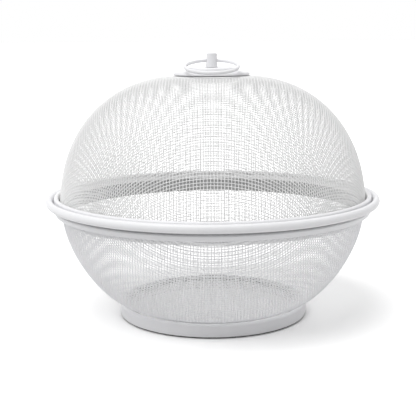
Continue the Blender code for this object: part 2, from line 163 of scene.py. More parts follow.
class BASKET_PG_rims(bpy.types.PropertyGroup):
    """The rolled strips: collar, lid rim, clamp bands and foot"""

    steps: IntProperty(name="Steps", description="Sides of a rolled ring", default=192, min=24, max=512)
    cut_edge: length("Cut edge", "Rounding of a sheet's cut edge", 0.00025)
    collar_sheet: length("Collar sheet", "Thickness of the collar's strip", 0.0010)
    bead_width: length("Bead width", "Width of the rolled bead", 0.0059)
    bead_height: length("Bead height", "Height of the rolled bead", 0.0068)
    bead_open: turn("Bead opening", "Where the bead's free edge ends, below level", 100)
    neck_mouth: length("Neck mouth", "Depth below the rim at which the strip turns in to the neck", 0.0046)
    neck_drop: length("Neck drop", "Depth of the neck below the rim", 0.0067)
    neck_inset: length("Neck inset", "How far the neck lies inside the bead", 0.0033)
    neck_height: length("Neck height", "Height of the neck", 0.0022)
    neck_bend: length("Neck bend", "Radius of the bends at the neck", 0.0008)
    skirt_drop: length("Skirt drop", "Depth of the skirt's shoulder below the rim", 0.0097)
    skirt_inset: length("Skirt inset", "How far the skirt lies inside the bead", 0.0016)
    skirt_bend: length("Skirt bend", "Radius of the skirt's shoulder", 0.0009)
    skirt_taper: length("Skirt taper", "How far the skirt draws in towards the ledge", 0.0012)
    ledge_drop: length("Ledge drop", "Depth of the ledge below the rim", 0.0128)
    ledge_bend: length("Ledge bend", "Radius of the bend at the ledge", 0.0011)
    lip_radius: length("Lip radius", "Radius of the lip that backs the bowl's cloth", 0.12842)
    lip_height: length("Lip height", "Height of the lip above the ledge", 0.0015)
    lid_sheet: length("Lid rim sheet", "Thickness of the lid rim's strip", 0.0008)
    lid_crown: length("Lid rim crown", "Height of the lid rim's round top", 0.0017)
    lid_leg: length("Lid rim leg", "Length of the lid rim's short leg", 0.0030)
    # Painted shadow: below this height the bands' inner side is painted grey; the next size sets how far its
    # edge wanders
    bare_height: length("Bare height", "Height up to which the bands' inner side is bare", 0.0972)
    bare_edge: length("Bare edge", "Unevenness of the edge of the coat", 0.0002)
    band_sheet: length("Band sheet", "Thickness of the clamp bands", 0.0008)
    foot_sheet: length("Foot sheet", "Thickness of the foot ring's strip", 0.0012)
    foot_taper: length("Foot taper", "How far the foot draws in towards its sole", 0.0006)
    foot_bend: length("Foot bend", "Radius of the bend at the flange", 0.0014)
    sole: length("Sole", "Width of the turned-in sole", 0.0050)
    # Painted shade: up to this height the foot's edge is painted near-black where it meets the floor
    scuff: length("Scuff", "Height to which the coat is worn off the foot's edge", 0.0012)
    sole_bend: length("Sole bend", "Radius of the bend at the sole", 0.0018)
    flange: length("Flange", "Width of the flange under the cloth", 0.0065)
    flange_bend: length("Flange bend", "Radius of the bend along the flange", 0.004)


class BASKET_PG_knob(bpy.types.PropertyGroup):
    """The plates, post, screw and ring on the crown"""

    sheet: length("Sheet", "Thickness of the cap plate and the backing plate", 0.0012)
    cap_edge: length("Cap edge", "Height of the cap plate's edge", 0.0022)
    cap_bend: length("Cap bend", "Radius of the cap plate's edge", 0.0015)
    cone_rise: length("Cone rise", "Rise of the cap plate towards its boss", 0.0016)
    boss_radius: length("Boss radius", "Radius of the raised boss", 0.0205)
    boss_bend: length("Boss bend", "Radius of the bends at the boss", 0.0009)
    backing_bend: length("Backing bend", "Radius of the backing plate's edge", 0.0015)
    post_radius: length("Post radius", "Radius of the post at its foot", 0.0049)
    post_top_radius: length("Post top radius", "Radius of the post below its domed top", 0.0044)
    post_dome: length("Post dome", "Height of the post's domed top", 0.0014)
    post_edge: length("Post edge", "Rounding of the post's edges", 0.0003)
    hole_radius: length("Hole radius", "Radius of the hole that the ring turns in", 0.00205)
    screw_radius: length("Screw radius", "Radius of the screw's shank", 0.0020)
    screw_head: length("Screw head", "Height of the screw's head", 0.0024)
    screw_end: length("Screw end", "Radius of the bend at the shank's end", 0.0004)
    screw_edge: length("Screw edge", "Rounding of the screw's edges", 0.0001)
    head_back_bend: length("Head back bend", "Radius of the bend at the back of the screw's head", 0.0002)
    head_dome: length("Head dome", "Height of the domed face of the screw's head", 0.0006)
    head_bend: length("Head bend", "Radius of the bend at the edge of the screw's head", 0.0008)
    face_radius: share("Face radius", "Radius of the face of the screw's head, of the head's", 0.55)
    face_bend: length("Face bend", "Radius of the bend round the face of the screw's head", 0.002)
    slot: length("Slot", "Width of the cross recess in the screw's head", 0.0009)
    slot_depth: length("Slot depth", "Depth of the cross recess", 0.0014)
    slot_reach: share("Slot reach", "Length of the cross recess, of the head's radius", 1.15)
    ring_radius: length("Ring radius", "Radius of the ring at the middle of its wire", 0.02146)
    ring_wire: length("Ring wire", "Radius of the ring's wire", 0.00147)
    ring_lean: turn("Ring lean", "How far the ring leans below level at rest", 12)


class BASKET_PG_finish(bpy.types.PropertyGroup):
    """Colours and roughness of the coat, the screw's zinc, and the painted light and shade laid over the coat
    """

    coat: colour("Coat", "White powder coat on the pressed pieces", (0.84, 0.84, 0.857))
    # Painted light: the bowl's wires take a lighter copy of the white coat, which stands in for the light on
    # them
    bowl_coat: colour("Bowl coat", "White powder coat on the bowl's wires", (0.965, 0.965, 0.985))
    # Painted light: the lid's wires take another copy of the white coat, at a level set for the light on the
    # lid
    lid_coat: colour("Lid coat", "White powder coat on the lid's wires", (0.88, 0.88, 0.88))
    # Painted light: the side of the wires and of the lid rim that faces the middle of the basket is painted
    # whiter
    wire_inside: colour("Wire inside", "Thicker, whiter coat on the wires' inner side", (0.98, 0.98, 0.98))
    # Painted light: the foot takes a lighter copy of the white coat, which stands in for light that the bowl
    # keeps off it
    foot_coat: colour("Foot coat", "White powder coat on the foot", (0.965, 0.965, 0.985))
    # Painted shade: grey in the collar's neck, the groove between bead and skirt, which stands in for its
    # shade
    thin: colour("Thin", "Thin grey coat in the collar's neck", (0.46, 0.46, 0.47))
    # Painted shade: near-black on the foot's lowest edge, which stands in for the shade where the foot meets
    # the floor
    scuffed: colour("Scuffed", "Dark worn edge that the foot stands on", (0.06, 0.06, 0.06))
    # Painted light: the clamp bands take a lighter copy of the white coat
    band_coat: colour("Band coat", "White powder coat on the clamp bands", (0.98, 0.98, 0.98))
    # Painted shadow: grey on the lower part of the bands' inner side, which stands in for the shadow inside
    # the basket
    bare: colour("Bare", "Grey steel that the coat doesn't reach, inside the clamp bands", (0.42, 0.42, 0.42))
    # Painted shade: dark grey on the foot's inner side, which stands in for the shade under the bowl
    foot_inside: colour("Foot inside", "Thin grey coat on the foot's inner side", (0.10, 0.10, 0.10))
    zinc: colour("Zinc", "Plated steel of the screw", (0.62, 0.63, 0.64))
    coat_roughness: share("Coat roughness", "Roughness of the coat", 0.42)
    peel_size: length("Peel size", "Size of the coat's orange peel", 0.0014)
    peel_depth: length("Peel depth", "Depth of the coat's orange peel", 0.00002)


class BASKET_PG_studio(bpy.types.PropertyGroup):
    """Camera, lights and floor"""

    lens: FloatProperty(name="Lens", description="Focal length", default=82.66, unit="CAMERA")
    place: FloatVectorProperty(
        name="Camera place", description="Where the camera stands", default=(0, -0.8, 0.2352), subtype="XYZ"
    )
    pitch: turn("Pitch", "How far the camera looks down", 10.26)
    yaw: turn("Yaw", "How far the camera turns to the left", 0.28)
    roll: turn("Roll", "How far the camera leans to the right", 0.40)
    sky: share("Sky", "Strength of the white room on the object", 0.30)
    ceiling_from: direction("Ceiling from", "Where the light from above comes from", (0.05, 0.35, 1))
    ceiling: share("Ceiling", "Strength of the light from above", 0.31)
    ceiling_spread: turn("Ceiling spread", "How wide the light from above is", 70)
    front_from: direction("Front from", "Where the light from high in front comes from", (-0.3, -0.42, 1))
    front: share("Front", "Strength of the light from high in front", 0.485)
    front_spread: turn("Front spread", "How wide the light from high in front is", 36)
    left_from: direction("Left from", "Where the light from the left comes from", (-0.92, -0.12, 0.62))
    left: share("Left", "Strength of the light from the left", 0.165)
    left_spread: turn("Left spread", "How wide the light from the left is", 45)
    right_from: direction("Right from", "Where the light from the right comes from", (0.92, -0.15, 0.32))
    right: share("Right", "Strength of the light from the right", 0.10)
    right_spread: turn("Right spread", "How wide the light from the right is", 70)
    floor: share("Floor", "Brightness of the floor's paint as it lights the object", 0.70)
    # Painted light: the floor is painted darker by the object and brighter further off, between the two
    # distances below
    floor_near: share("Floor near", "Brightness to the eye of the floor by the object", 1.17)
    floor_far: share("Floor far", "Brightness to the eye of the floor further off", 1.35)
    pale_from: length("Pale from", "Distance at which the floor begins to pale", 0.22)
    pale_to: length("Pale to", "Distance at which the floor is as pale as it gets", 0.55)


def choices(context, *groups):
    """The user's sizes and finishes, by the names of their groups."""
    return [getattr(context.scene, f"basket_{group}") for group in groups]


# Paths and forms

def arc(centre, half_width, half_height, start, end, points):
    """Points along an ellipse, in radius and height."""
    return [
        (centre[0] + half_width * math.cos(angle), centre[1] + half_height * math.sin(angle))
        for angle in np.linspace(start, end, points)
    ]


def pulled_curve(start, start_pull, end_pull, end, points):
    """Points along a curve between two ends that are pulled by handles."""
    knots = [Vector((radius, 0, height)) for radius, height in (start, start_pull, end_pull, end)]
    return [(point.x, point.z) for point in interpolate_bezier(*knots, points)]


def rounded(corners):
    """A path through corners, each a radius, a height and the radius of its bend."""
    path = [corners[0][:2]]
    for before, here, after in zip(corners, corners[1:], corners[2:]):
        corner, bend = Vector(here[:2]), here[2]
        back = (Vector(before[:2]) - corner).normalized()
        ahead = (Vector(after[:2]) - corner).normalized()
        half = back.angle(ahead) / 2
        if bend == 0 or half > math.pi / 2 - FLAT_BEND:
            path.append(tuple(corner))
            continue
        reach = bend / math.tan(half)
        middle = corner + (back + ahead).normalized() * bend / math.sin(half)
        first = corner + back * reach - middle
        sweep = first.angle_signed(corner + ahead * reach - middle)
        for step in range(ROUND_POINTS + 1):
            spoke = first.copy()
            spoke.rotate(Matrix.Rotation(-sweep * step / ROUND_POINTS, 2))
            path.append(tuple(middle + spoke))
    path.append(corners[-1][:2])
    return path


def bowl_profile(cloth):
    """The bowl's cloth, from the axis out along the floor and up the wall."""
    slope = cloth.bowl_foot_slope
    start = (cloth.bowl_foot_radius, cloth.bowl_foot_height)
    end = (cloth.bowl_radius, cloth.bowl_edge)
    bend = cloth.floor_bend
    floor_height = start[1] - bend / 2 * math.tan(slope)
    width = end[0] - start[0]
    rise = end[1] - start[1]
    knee = (start[0] - bend / 2, floor_height)
    floor = pulled_curve((start[0] - bend, floor_height), knee, knee, start, FLOOR_POINTS)
    pull = cloth.bowl_foot_pull * width
    leave = (start[0] + pull * math.cos(slope), start[1] + pull * math.sin(slope))
    arrive = (end[0], end[1] - cloth.bowl_top_pull * rise)
    return [(0, floor_height)] + floor[:-1] + pulled_curve(start, leave, arrive, end, CURVE_POINTS)


def dome_profile(cloth):
    """The lid's cloth, from the axis out over the crown and down to its edge."""
    start = (cloth.crown_radius, cloth.crown_height)
    end = (cloth.lid_radius, cloth.lid_edge)
    slope = cloth.crown_slope
    pull = cloth.crown_pull * (end[0] - start[0])
    leave = (start[0] + pull * math.cos(slope), start[1] - pull * math.sin(slope))
    arrive = (end[0], end[1] + cloth.lid_pull * (start[1] - end[1]))
    return [(0, start[1])] + pulled_curve(start, leave, arrive, end, CURVE_POINTS)


class Form:
    """The surface of revolution that a cloth is pressed over."""

    def __init__(self, profile):
        (r0, z0), (r1, z1) = profile[-2:]
        stretch = SPARE_LENGTH / math.hypot(r1 - r0, z1 - z0)
        beyond = (r1 + (r1 - r0) * stretch, z1 + (z1 - z0) * stretch)
        self.profile = np.array(profile + [beyond])
        self.length = float(np.hypot(*np.diff(self.profile, axis=0).T).sum())

    def side_and_normal(self, points):
        """Distance of points from the surface, up at its middle, and its normals there."""
        radius = np.hypot(points[:, 0], points[:, 1])
        place = np.stack([radius, points[:, 2]], axis=-1)
        start = self.profile[:-1]
        run = self.profile[1:] - start
        offset = place[:, None] - start
        along = (offset * run).sum(-1) / (run * run).sum(-1)
        nearest = offset - np.clip(along, 0, 1)[..., None] * run
        distance = np.hypot(nearest[..., 0], nearest[..., 1])
        best = distance.argmin(axis=1)
        rows = np.arange(len(points))
        run = run[best] / np.hypot(run[best, 0], run[best, 1])[:, None]
        offset = offset[rows, best]
        side = run[:, 0] * offset[:, 1] - run[:, 1] * offset[:, 0]
        outwards = -run[:, 1] / np.maximum(radius, MERGE)
        normal = np.stack([outwards * points[:, 0], outwards * points[:, 1], run[:, 0]], axis=-1)
        return np.where(side < 0, -1, 1) * distance[rows, best], normal

    def swing(self, pivot, reach, ahead, up):
        """Swing arms of a given reach about their pivots until they meet the surface."""
        low = np.full(len(pivot), -math.pi / 2)
        high = np.full(len(pivot), math.pi / 2)
        for _ in range(SWING_STEPS):
            angle = (low + high) / 2
            arm = np.cos(angle)[:, None] * ahead + np.sin(angle)[:, None] * up
            over = self.side_and_normal(pivot + reach[:, None] * arm)[0] > 0
            high = np.where(over, angle, high)
            low = np.where(over, low, angle)
        return pivot + reach[:, None] * arm


def unit(vectors):
    return vectors / np.linalg.norm(vectors, axis=-1, keepdims=True)


def drape(form, pitch):
    """Crossings of a square cloth over one quarter of a form, every wire keeping its pitch."""
    count = math.ceil(form.length / pitch) + 1
    nodes = np.full((count, count, 3), np.nan)
    nodes[0, 0] = (pitch / 2, pitch / 2, form.profile[0, 1])
    across, up = np.array([[1.0, 0, 0]]), np.array([[0, 0, 1.0]])
    for i in range(1, count):
        nodes[i, 0] = form.swing(nodes[i - 1, :1], np.array([pitch]), across, up)[0]
        nodes[0, i] = nodes[i, 0, [1, 0, 2]]
    for diagonal in range(2, 2 * count - 1):
        i = np.arange(max(1, diagonal - count + 1), min(diagonal, count))
        j = diagonal - i
        before, beside, behind = nodes[i - 1, j], nodes[i, j - 1], nodes[i - 1, j - 1]
        gap = beside - before
        middle = (before + beside) / 2
        half = np.linalg.norm(gap, axis=-1) / 2
        usable = half < pitch * LOCKED_SHARE
        if not usable.any():
            continue
        i, j, middle, half, gap, behind = (x[usable] for x in (i, j, middle, half, gap, behind))
        ahead = unit(middle - behind)
        reach = np.sqrt(pitch ** 2 - half ** 2)
        nodes[i, j] = form.swing(middle, reach, ahead, np.cross(unit(gap), ahead))
    return nodes


def woven_wires(form, pitch, amplitude, edge, outward):
    """The wires that run along X: half of each, from its middle to the cloth's cut edge.

    A wire passes over one crossing and under the next. Those that run along Y are
    the same ones with X and Y changed over, which pass under where these pass over.
    """
    nodes = drape(form, pitch)
    count = len(nodes)
    flat = nodes.reshape(-1, 3)
    lift = form.side_and_normal(np.nan_to_num(flat))[1].reshape(nodes.shape)
    parity = np.add.outer(np.arange(count), np.arange(count)) % 2
    shift = amplitude * (1 - 2 * parity)[..., None] * lift
    halves = []
    for row in range(count):
        # Also true where a crossing is missing
        beyond = ~((nodes[:, row, 2] - edge) * outward <= 0)
        if beyond[0]:
            break
        last = int(np.argmax(beyond)) if beyond.any() else count
        over = nodes[:last, row] + shift[:last, row]
        under = nodes[:last, row] - shift[:last, row]
        if last < count and not np.isnan(nodes[last, row, 0]):
            inner, outer = nodes[last - 1, row], nodes[last, row]
            end = inner + (outer - inner) * (edge - inner[2]) / (outer[2] - inner[2])
            over = np.vstack([over, end])
            under = np.vstack([under, end])
        halves.append((over, under))
    return halves


def mirrored_wire(over, under, side):
    """A whole wire: past its middle the crossings change over, so the far half is the other one."""
    far = under[::-1] * (-1, 1, 1)
    return np.vstack([far, over]) * (1, side, 1)


# Building pieces

def new_object(name, mesh):
    piece = bpy.data.objects.new(name, mesh)
    bpy.context.scene.collection.objects.link(piece)
    return piece


def mesh_of(name, shape, *materials):
    """A bmesh made into a mesh with its materials."""
    mesh = bpy.data.meshes.new(name)
    shape.to_mesh(mesh)
    shape.free()
    for material in materials:
        mesh.materials.append(material)
    return mesh


def finished(name, shape, material, body, node):
    """A bmesh made into a smooth piece that stands for a node of the frame and rides on its body."""
    mesh = mesh_of(name, shape, material)
    mesh.shade_smooth()
    piece = new_object(name, mesh)
    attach(piece, body)
    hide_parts(node)
    return piece


def spun(path, steps):
    """A half section, as radii and heights, turned about the basket's axis."""
    shape = bmesh.new()
    points = [shape.verts.new((radius, 0, height)) for radius, height in path]
    for pair in zip(points, points[1:]):
        shape.edges.new(pair)
    return turned(shape, steps)


def turned(shape, steps):
    """The points and lines of a bmesh, turned once about Z."""
    bmesh.ops.spin(
        shape,
        geom=shape.verts[:] + shape.edges[:],
        cent=(0, 0, 0),
        axis=(0, 0, 1),
        angle=2 * math.pi,
        steps=steps,
        use_merge=True,
    )
    bmesh.ops.remove_doubles(shape, verts=shape.verts[:], dist=MERGE)
    bmesh.ops.dissolve_degenerate(shape, edges=shape.edges[:], dist=MERGE)
    bmesh.ops.recalc_face_normals(shape, faces=shape.faces[:])
    return shape


def pressed(name, path, sheet, rims, material, body, node):
    """A sheet with the path for its middle, turned about the axis, with its cut edges rounded."""
    piece = finished(name, spun(path, rims.steps), material, body, node)
    shell = piece.modifiers.new("sheet", "SOLIDIFY")
    shell.thickness = sheet
    shell.offset = 0
    shell.use_even_offset = True
    round_edges(piece, rims.cut_edge)


def round_edges(piece, width):
    bevel = piece.modifiers.new("rounded edges", "BEVEL")
    bevel.width = width
    bevel.segments = 2
    bevel.limit_method = "ANGLE"
    bevel.angle_limit = math.radians(50)
    piece.modifiers.new("shading", "WEIGHTED_NORMAL").keep_sharp = True


def take_away(piece, shape):
    """Cut a bmesh out of a piece, and bake the cut into the piece's mesh."""
    cutter = new_object("cutter", mesh_of("cutter", shape))
    boolean = piece.modifiers.new("cut", "BOOLEAN")
    boolean.operation = "DIFFERENCE"
    boolean.solver = "EXACT"
    boolean.object = cutter
    depsgraph = bpy.context.evaluated_depsgraph_get()
    mesh = bpy.data.meshes.new_from_object(piece.evaluated_get(depsgraph))
    mesh.shade_smooth()
    piece.modifiers.clear()
    piece.data = mesh
    bpy.data.objects.remove(cutter)


def wire_mesh(name, wires, radius):
    """Round wires along lists of points, as one mesh."""
    curve = bpy.data.curves.new(name, "CURVE")
    curve.dimensions = "3D"
    curve.bevel_depth = radius
    curve.bevel_resolution = 1
    curve.use_fill_caps = True
    for points in wires:
        spline = curve.splines.new("POLY")
        spline.points.add(len(points) - 1)
        spline.points.foreach_set("co", np.column_stack([points, np.ones(len(points))]).ravel())
    source = new_object(name, curve)
    depsgraph = bpy.context.evaluated_depsgraph_get()
    mesh = bpy.data.meshes.new_from_object(source.evaluated_get(depsgraph))
    bpy.data.objects.remove(source)
    shape = bmesh.new()
    shape.from_mesh(mesh)
    bpy.data.meshes.remove(mesh)
    bmesh.ops.remove_doubles(shape, verts=shape.verts[:], dist=MERGE)
    return shape


def weave(name, profile, edge, outward, cloth, material, body, node):
    """The cloth of the bowl or the lid, as four pieces: the wires each way, near and far."""
    halves = woven_wires(Form(profile), cloth.pitch, cloth.crimp * cloth.wire / 2, edge, outward)
    for way, word, side in (
        ("warp", "near", -1),
        ("warp", "far", 1),
        ("weft", "left", -1),
        ("weft", "right", 1),
    ):
        # Over and under change places past the middle, and from one way to the other
        changed = (way == "warp") == (side < 0)
        wires = [mirrored_wire(*(half[::-1] if changed else half), side) for half in halves]
        if way == "weft":
            wires = [wire[:, [1, 0, 2]] for wire in wires]
        shape = wire_mesh(f"{name}_{way}_{word}", wires, cloth.wire / 2)
        finished(f"{name}_{way}_{word}", shape, material, body, node)


# Finishes

def add(tree, kind, *inputs, **settings):
    """A node with some of its settings. Inputs come in order or by name, as values or as sockets to link."""
    node = tree.nodes.new(kind)
    given = dict(enumerate(inputs))
    for key, value in settings.items():
        if key[0].isupper():
            given[key.replace("_", " ")] = value
        else:
            setattr(node, key, value)
    for key, value in given.items():
        if isinstance(value, bpy.types.NodeSocket):
            tree.links.new(value, node.inputs[key])
        else:
            node.inputs[key].default_value = value
    return node


def new_material(name):
    material = bpy.data.materials.new(name)
    material.use_nodes = True
    return material, material.node_tree, material.node_tree.nodes["Principled BSDF"]


def object_place(tree):
    return add(tree, "ShaderNodeTexCoord").outputs["Object"]


def math_node(tree, operation, *inputs, **settings):
    """What a Math node makes of its inputs."""
    return add(tree, "ShaderNodeMath", *inputs, operation=operation, **settings).outputs[0]


def between(tree, share, low, high):
    """A value that goes from low to high as a share goes from 0 to 1."""
    return add(tree, "ShaderNodeMapRange", Value=share, To_Min=low, To_Max=high).outputs["Result"]


def share_of(tree, value, none, whole, to_none=0):
    """How far a value is on its way from none to whole, as 0, or another least value, to 1."""
    part = add(tree, "ShaderNodeMapRange", Value=value, From_Min=none, From_Max=whole, To_Min=to_none)
    return part.outputs["Result"]


def effect(tree, build, **inputs):
    """A node group that several materials share, built when it is first asked for."""
    group = bpy.data.node_groups.get(build.__name__)
    if group is None:
        group = bpy.data.node_groups.new(build.__name__, "ShaderNodeTree")
        build(group)
    return add(tree, "ShaderNodeGroup", node_tree=group, **inputs)


def mask(material, build, **inputs):
    """A shared mask, placed in one piece's material."""
    return effect(material.node_tree, build, **inputs).outputs["Mask"]


def name_sockets(tree, inputs, outputs):
    """Give a node group its sockets, by name and kind, and return what comes in by them."""
    for way, kinds in (("INPUT", inputs), ("OUTPUT", outputs)):
        for label, kind in kinds.items():
            tree.interface.new_socket(label, in_out=way, socket_type=f"NodeSocket{kind}")
    return tree.nodes.new("NodeGroupInput").outputs


def powder_coat(tree):
    """Sprayed and baked powder: orange peel, slight mottling of colour and gloss, specks of dust."""
    given = name_sockets(
        tree,
        {"Colour": "Color", "Roughness": "Float", "Peel Size": "Float", "Peel Depth": "Float"},
        {"Colour": "Color", "Roughness": "Float", "Normal": "Vector"},
    )
    place = object_place(tree)
    scale = math_node(tree, "DIVIDE", 1, given["Peel Size"])
    peel = add(tree, "ShaderNodeTexNoise", Vector=place, Scale=scale, Detail=2, Roughness=0.45)
    bump = add(tree, "ShaderNodeBump", Strength=1, Distance=given["Peel Depth"], Height=peel.outputs["Fac"])
    patch = add(tree, "ShaderNodeTexNoise", Vector=place, Scale=90, Detail=4, Roughness=0.6).outputs["Fac"]
    rough = math_node(tree, "ADD", given["Roughness"], between(tree, patch, -0.05, 0.07))
    speck = add(tree, "ShaderNodeTexVoronoi", Vector=place, Scale=420).outputs["Distance"]
    dust = share_of(tree, speck, none=0.03, whole=0.09, to_none=0.9)
    shade = math_node(tree, "MULTIPLY", between(tree, patch, 0.965, 1.02), dust)
    tint = add(tree, "ShaderNodeVectorMath", given["Colour"], operation="SCALE", Scale=shade)
    add(tree, "NodeGroupOutput", tint.outputs[0], rough, bump.outputs["Normal"])


def facing_in(tree):
    """A mask of where a surface faces a point on the basket's axis."""
    given = name_sockets(tree, {"Height": "Float"}, {"Mask": "Float"})
    middle = add(tree, "ShaderNodeCombineXYZ", Z=given["Height"]).outputs[0]
    outward = add(tree, "ShaderNodeVectorMath", object_place(tree), middle, operation="SUBTRACT")
    ray = add(tree, "ShaderNodeVectorMath", outward.outputs[0], operation="NORMALIZE").outputs[0]
    normal = add(tree, "ShaderNodeTexCoord").outputs["Normal"]
    facing = add(tree, "ShaderNodeVectorMath", ray, normal, operation="DOT_PRODUCT")
    add(tree, "NodeGroupOutput", share_of(tree, facing.outputs["Value"], none=-0.1, whole=-0.75))


def below(tree):
    """A mask of where a surface is below a height, with an edge that noise moves up and down."""
    given = name_sockets(tree, {"Height": "Float", "Unevenness": "Float"}, {"Mask": "Float"})
    place = object_place(tree)
    level = add(tree, "ShaderNodeSeparateXYZ", place).outputs["Z"]
    depth = math_node(tree, "SUBTRACT", given["Height"], level)
    depth = math_node(tree, "DIVIDE", depth, given["Unevenness"])
    patch = add(tree, "ShaderNodeTexNoise", Vector=place, Scale=260, Detail=3).outputs["Fac"]
    wander = math_node(tree, "SUBTRACT", 1, patch)
    add(tree, "NodeGroupOutput", math_node(tree, "MULTIPLY_ADD", depth, 0.5, wander, use_clamp=True))


def coat(name, tint, finish):
    """One piece's powder coat."""
    material, tree, shader = new_material(name)
    shader.inputs["IOR"].default_value = 1.5
    layer = effect(
        tree,
        powder_coat,
        name="coat",
        Colour=(*tint, 1),
        Roughness=finish.coat_roughness,
        Peel_Size=finish.peel_size,
        Peel_Depth=finish.peel_depth,
    )
    tree.links.new(layer.outputs["Colour"], shader.inputs["Base Color"])
    tree.links.new(layer.outputs["Roughness"], shader.inputs["Roughness"])
    tree.links.new(layer.outputs["Normal"], shader.inputs["Normal"])
    return material


def in_groove(tree, upper, lower, mouth, soft):
    """Where a surface lies between two heights and nearer to the axis than a groove's mouth."""
    x, y, height = add(tree, "ShaderNodeSeparateXYZ", object_place(tree)).outputs
    level = add(tree, "ShaderNodeCombineXYZ", x, y).outputs[0]
    away = add(tree, "ShaderNodeVectorMath", level, operation="LENGTH").outputs["Value"]
    return (
        share_of(tree, height, upper + soft, upper),
        share_of(tree, height, lower - soft, lower),
        share_of(tree, away, mouth + soft, mouth),
    )


def paint_over(material, tint, *shares):
    """Another colour over the coat, where every share is 1."""
    tree = material.node_tree
    share = shares[0]
    for other in shares[1:]:
        share = math_node(tree, "MULTIPLY", share, other)
    mix = add(tree, "ShaderNodeMix", share, data_type="RGBA")
    under, over = mix.inputs[6:8]
    colour = tree.nodes["coat"].inputs["Colour"]
    if colour.links:
        tree.links.new(colour.links[0].from_socket, under)
    else:
        under.default_value = colour.default_value
    over.default_value = (*tint, 1)
    tree.links.new(mix.outputs[2], colour)


def two_sided_coat(name, outside, inside, finish, middle):
    """Coat of one colour outside, and of another on the side that faces the middle of the basket: that colour
    is painted light or painted shade, as the caller gives it.
    """
    material = coat(name, outside, finish)
    paint_over(material, inside, mask(material, facing_in, Height=middle))
    return material


def zinc_plate(name, tint):
    """Bright zinc on a screw: turned rings and slight clouding."""
    material, tree, shader = new_material(name)
    shader.inputs["Metallic"].default_value = 1
    place = object_place(tree)
    rings = add(
        tree,
        "ShaderNodeTexWave",
        wave_type="RINGS",
        rings_direction="Z",
        Vector=place,
        Scale=700,
        Distortion=0.6,
    )
    cloud = add(tree, "ShaderNodeTexNoise", Vector=place, Scale=600, Detail=3).outputs["Fac"]
    tone = between(tree, cloud, 0.75, 1.05)
    tinted = add(tree, "ShaderNodeVectorMath", tint, operation="SCALE", Scale=tone)
    bump = add(tree, "ShaderNodeBump", Strength=0.4, Distance=0.00003, Height=rings.outputs["Fac"])
    tree.links.new(tinted.outputs[0], shader.inputs["Base Color"])
    tree.links.new(between(tree, cloud, 0.22, 0.42), shader.inputs["Roughness"])
    tree.links.new(bump.outputs["Normal"], shader.inputs["Normal"])
    return material


# The studio

def eye_level(tree, unseen, seen):
    """A level that is one value to the eye, in gloss and through glass, and another to soft light."""
    path = add(tree, "ShaderNodeLightPath").outputs
    level = path["Is Camera Ray"]
    for ray in ("Is Glossy Ray", "Is Transmission Ray"):
        level = math_node(tree, "MAXIMUM", level, path[ray])
    return between(tree, level, unseen, seen)


def white_room(strength):
    """A white room: plain white to the eye and in reflections, dimmer on the object."""
    world = bpy.data.worlds.new("white_room")
    world.use_nodes = True
    tree = world.node_tree
    tree.nodes.clear()
    paint = add(tree, "ShaderNodeBackground", Color=(1, 1, 1, 1), Strength=eye_level(tree, strength, 1))
    add(tree, "ShaderNodeOutputWorld", Surface=paint.outputs[0])
    return world


def floor_paint(studio):
    """Matt white floor that keeps the shadow, and pales into the white room around the object."""
    material, tree, _ = new_material("floor_paint")
    tree.nodes.clear()
    away = add(tree, "ShaderNodeVectorMath", object_place(tree), operation="LENGTH").outputs["Value"]
    # Painted light: the floor's paint grows brighter with distance from the object, and is darker beside it
    pale = add(
        tree,
        "ShaderNodeMapRange",
        interpolation_type="SMOOTHSTEP",
        Value=away,
        From_Min=studio.pale_from,
        From_Max=studio.pale_to,
        To_Min=studio.floor_near,
        To_Max=studio.floor_far,
    )
    matt = add(tree, "ShaderNodeBsdfDiffuse", Color=eye_level(tree, studio.floor, pale.outputs["Result"]))
    add(tree, "ShaderNodeOutputMaterial", Surface=matt.outputs[0])
    return material


def soft_light(name, source, spread, strength):
    """Even light from one side. White that faces it looks white at a strength of 1."""
    lamp = bpy.data.lights.new(name, "SUN")
    lamp.angle = spread
    lamp.energy = strength * math.pi
    holder = new_object(name, lamp)
    holder.rotation_euler = (-Vector(source)).to_track_quat("-Z", "Y").to_euler()


# Operators, one for each piece or group of like pieces

class BASKET_OT_bowl_cloth(bpy.types.Operator):
    """Weave the bowl's wire cloth over its form"""

    bl_idname = "basket.bowl_cloth"
    bl_label = "Bowl Cloth"
    bl_options = {"REGISTER", "UNDO"}

    def execute(self, context):
        cloth, finish = choices(context, "cloth", "finish")
        edge = cloth.bowl_edge
        # Painted light: the wires' coat is a lighter copy of the white coat, whiter still on the side that
        # faces the middle
        material = two_sided_coat("bowl_wire_coat", finish.bowl_coat, finish.wire_inside, finish, edge)
        weave("bowl", bowl_profile(cloth), edge, 1, cloth, material, "basket", "basket_mesh")
        return {"FINISHED"}


class BASKET_OT_lid_cloth(bpy.types.Operator):
    """Weave the lid's wire cloth over its form"""

    bl_idname = "basket.lid_cloth"
    bl_label = "Lid Cloth"
    bl_options = {"REGISTER", "UNDO"}

    def execute(self, context):
        cloth, finish = choices(context, "cloth", "finish")
        edge = cloth.lid_edge
        # Painted light: the wires' coat is a copy of the white coat at its own level, whiter on the side that
        # faces the middle
        material = two_sided_coat("lid_wire_coat", finish.lid_coat, finish.wire_inside, finish, edge)
        weave("lid", dome_profile(cloth), edge, -1, cloth, material, "lid", "lid_mesh")
        return {"FINISHED"}


